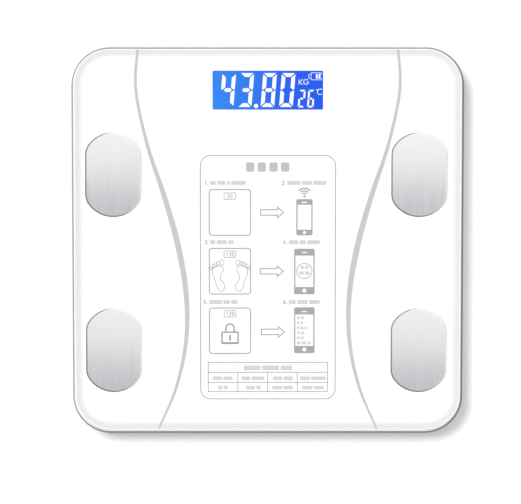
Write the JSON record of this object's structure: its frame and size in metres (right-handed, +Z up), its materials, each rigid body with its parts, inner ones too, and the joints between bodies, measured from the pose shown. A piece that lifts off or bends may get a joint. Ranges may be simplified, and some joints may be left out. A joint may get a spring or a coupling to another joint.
{
  "type": "digital bathroom scale",
  "caption": "Square glass-topped digital body scale with metal electrode pads, a rear display, load-cell feet and an underside battery compartment.",
  "frame": {"origin": "on the floor under the middle of the square platform", "axes": "+Z up, +Y from the user's side towards the display edge, +X to the user's right"},
  "size_m": [0.26, 0.26, 0.0243],
  "materials": {
    "platform_glass": "clear tempered, polished",
    "printed_film": "white screen print seen through the glass",
    "foam_tape": "white foam",
    "electrode_steel": "brushed lengthways",
    "adhesive": "clear acrylic",
    "terminal_brass": "tinned",
    "zinc_steel": "zinc plated",
    "tray_plastic": "fine spark-eroded texture",
    "foot_plastic": "fine texture",
    "foot_rubber": "matt moulded",
    "cell_steel": "blanked plate",
    "silicone": "white silicone",
    "bracket_plastic": "moulded",
    "gasket_foam": "black foam",
    "bezel_plastic": "matt black",
    "display_glass": "blue negative display, polished",
    "light_guide": "milky acrylic",
    "zebra_rubber": "layered elastomer",
    "led_resin": "moulded resin",
    "circuit_board": "green solder mask",
    "component_black": "moulded epoxy",
    "epoxy": "glossy encapsulant",
    "shield_can": "stamped tinplate",
    "header_plastic": "natural nylon",
    "switch_plastic": "moulded",
    "battery_jacket": "printed wrap",
    "contact_nickel": "nickel plated",
    "door_plastic": "fine spark-eroded texture",
    "button_plastic": "satin",
    "lead_sheath": "soft grey sheath",
    "wire_sheath": "thin insulation",
    "battery_wire_sheath": "thin insulation"
  },
  "bodies": {
    "base": {"glass_platform": "platform_glass", "printed_film": "printed_film", "platform_tape": "foam_tape", "electrode_front_left": "electrode_steel", "electrode_front_right": "electrode_steel", "electrode_rear_left": "electrode_steel", "electrode_rear_right": "electrode_steel", "electrode_glue": "adhesive", "electrode_terminals": "terminal_brass", "electrode_nuts": "zinc_steel", "base_tray": "tray_plastic", "switch_housing": "switch_plastic", "cell_bracket_front_left": "bracket_plastic", "cell_bracket_front_right": "bracket_plastic", "cell_bracket_rear_left": "bracket_plastic", "cell_bracket_rear_right": "bracket_plastic", "bracket_screws": "zinc_steel", "main_pcb": "circuit_board", "lcd_bezel": "bezel_plastic", "lcd_gasket": "gasket_foam", "lcd_glass": "display_glass", "lcd_backlight": "light_guide", "backlight_leds": "led_resin", "zebra_strip": "zebra_rubber", "wire_headers": "header_plastic", "small_components": "component_black", "radio_module": "shield_can", "mcu_epoxy_blob": "epoxy", "crystal_can": "shield_can", "board_screws": "zinc_steel", "battery_1": "battery_jacket", "battery_2": "battery_jacket", "battery_3": "battery_jacket", "battery_contacts": "contact_nickel", "battery_springs": "contact_nickel", "cell_leads": "lead_sheath", "electrode_leads": "wire_sheath", "battery_leads": "battery_wire_sheath"},
    "foot_front_left": {"foot_front_left": "foot_plastic", "foot_pad_front_left": "foot_rubber", "load_cell_front_left": "cell_steel", "gauge_coating_front_left": "silicone"},
    "foot_front_right": {"foot_front_right": "foot_plastic", "foot_pad_front_right": "foot_rubber", "load_cell_front_right": "cell_steel", "gauge_coating_front_right": "silicone"},
    "foot_rear_left": {"foot_rear_left": "foot_plastic", "foot_pad_rear_left": "foot_rubber", "load_cell_rear_left": "cell_steel", "gauge_coating_rear_left": "silicone"},
    "foot_rear_right": {"foot_rear_right": "foot_plastic", "foot_pad_rear_right": "foot_rubber", "load_cell_rear_right": "cell_steel", "gauge_coating_rear_right": "silicone"},
    "battery_door": {"battery_door": "door_plastic"},
    "unit_button": {"unit_button": "button_plastic", "switch_plunger": "header_plastic"}
  },
  "joints": [
    {"name": "foot_front_left_travel", "type": "slide", "parent": "base", "child": "foot_front_left", "axis": [0, 0, 1], "range_m": [0, 0.0005], "stiffness_N_per_m": 8000, "springref_m": -0.0005, "deforming": ["load_cell_front_left", "gauge_coating_front_left"]},
    {"name": "foot_front_right_travel", "type": "slide", "parent": "base", "child": "foot_front_right", "axis": [0, 0, 1], "range_m": [0, 0.0005], "stiffness_N_per_m": 8000, "springref_m": -0.0005, "deforming": ["load_cell_front_right", "gauge_coating_front_right"]},
    {"name": "foot_rear_left_travel", "type": "slide", "parent": "base", "child": "foot_rear_left", "axis": [0, 0, 1], "range_m": [0, 0.0005], "stiffness_N_per_m": 8000, "springref_m": -0.0005, "deforming": ["load_cell_rear_left", "gauge_coating_rear_left"]},
    {"name": "foot_rear_right_travel", "type": "slide", "parent": "base", "child": "foot_rear_right", "axis": [0, 0, 1], "range_m": [0, 0.0005], "stiffness_N_per_m": 8000, "springref_m": -0.0005, "deforming": ["load_cell_rear_right", "gauge_coating_rear_right"]},
    {"name": "battery_door_hinge", "type": "hinge", "parent": "base", "child": "battery_door", "pos_m": [0, 0.0005, 0.004], "axis": [-1, 0, 0], "range_deg": [0, 80]},
    {"name": "unit_button_press", "type": "slide", "parent": "base", "child": "unit_button", "axis": [0, 0, 1], "range_m": [0, 0.0005], "stiffness_N_per_m": 150, "springref_m": -0.001}
  ]
}
